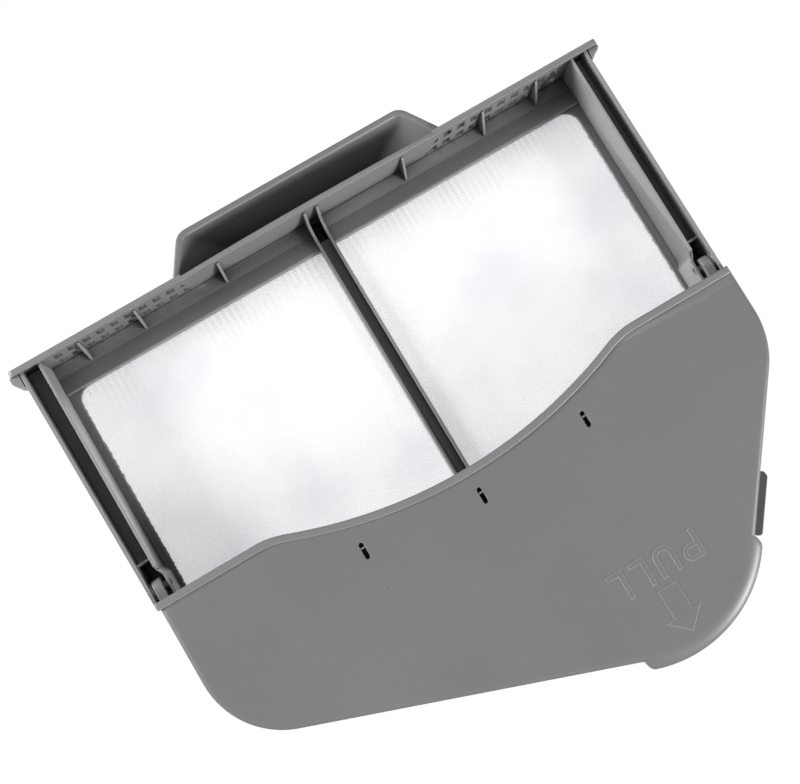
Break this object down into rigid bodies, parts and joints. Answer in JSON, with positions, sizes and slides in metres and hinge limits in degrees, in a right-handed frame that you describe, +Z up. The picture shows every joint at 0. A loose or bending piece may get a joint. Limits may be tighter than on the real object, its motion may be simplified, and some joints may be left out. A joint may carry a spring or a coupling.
{
  "type": "dryer lint filter cartridge",
  "caption": "Flanged lint filter cartridge with a finger scoop, two woven screens in a recess between side rails, and a lint pocket closed by a hinged cover with a corner pull tab.",
  "frame": {"origin": "middle of the flange's underside, which seats on the rim of the dryer's filter slot", "axes": "+Z up out of the slot, +X along the flange, to the right seen from the cover side, -Y to the front, the cover side"},
  "size_m": [0.2798, 0.045, 0.2536],
  "materials": {
    "frame_plastic": "moulded grey polypropylene, satin",
    "cover_plastic": "moulded grey polypropylene, fine spark texture, satin",
    "grip_plastic": "moulded dark grey plastic, satin",
    "pin_plastic": "moulded grey plastic, smooth",
    "woven_screen": "fine white woven monofilament mesh, stretched"
  },
  "bodies": {
    "cartridge": {"top_flange": "frame_plastic", "flange_gussets": "frame_plastic", "flange_end_stops": "frame_plastic", "handle_scoop": "frame_plastic", "screen_frame": "frame_plastic", "left_rail": "frame_plastic", "right_rail": "frame_plastic", "centre_rib": "frame_plastic", "left_mesh": "woven_screen", "right_mesh": "woven_screen", "pan_wall": "frame_plastic", "pan_back": "frame_plastic", "side_grip": "grip_plastic", "latch_keeper": "frame_plastic"},
    "cover": {"lint_cover": "cover_plastic", "cover_skirt": "cover_plastic", "cover_hooks": "cover_plastic", "pull_tab": "cover_plastic", "latch_tongue": "cover_plastic", "hinge_arm_left": "cover_plastic", "hinge_arm_right": "cover_plastic", "hinge_pin_left": "pin_plastic", "hinge_pin_right": "pin_plastic", "cover_marking": "cover_plastic"}
  },
  "joints": [
    {"name": "cover_hinge", "type": "hinge", "parent": "cartridge", "child": "cover", "pos_m": [0, -0.0151, -0.103], "axis": [-1, 0, 0], "range_deg": [0, 90]}
  ]
}
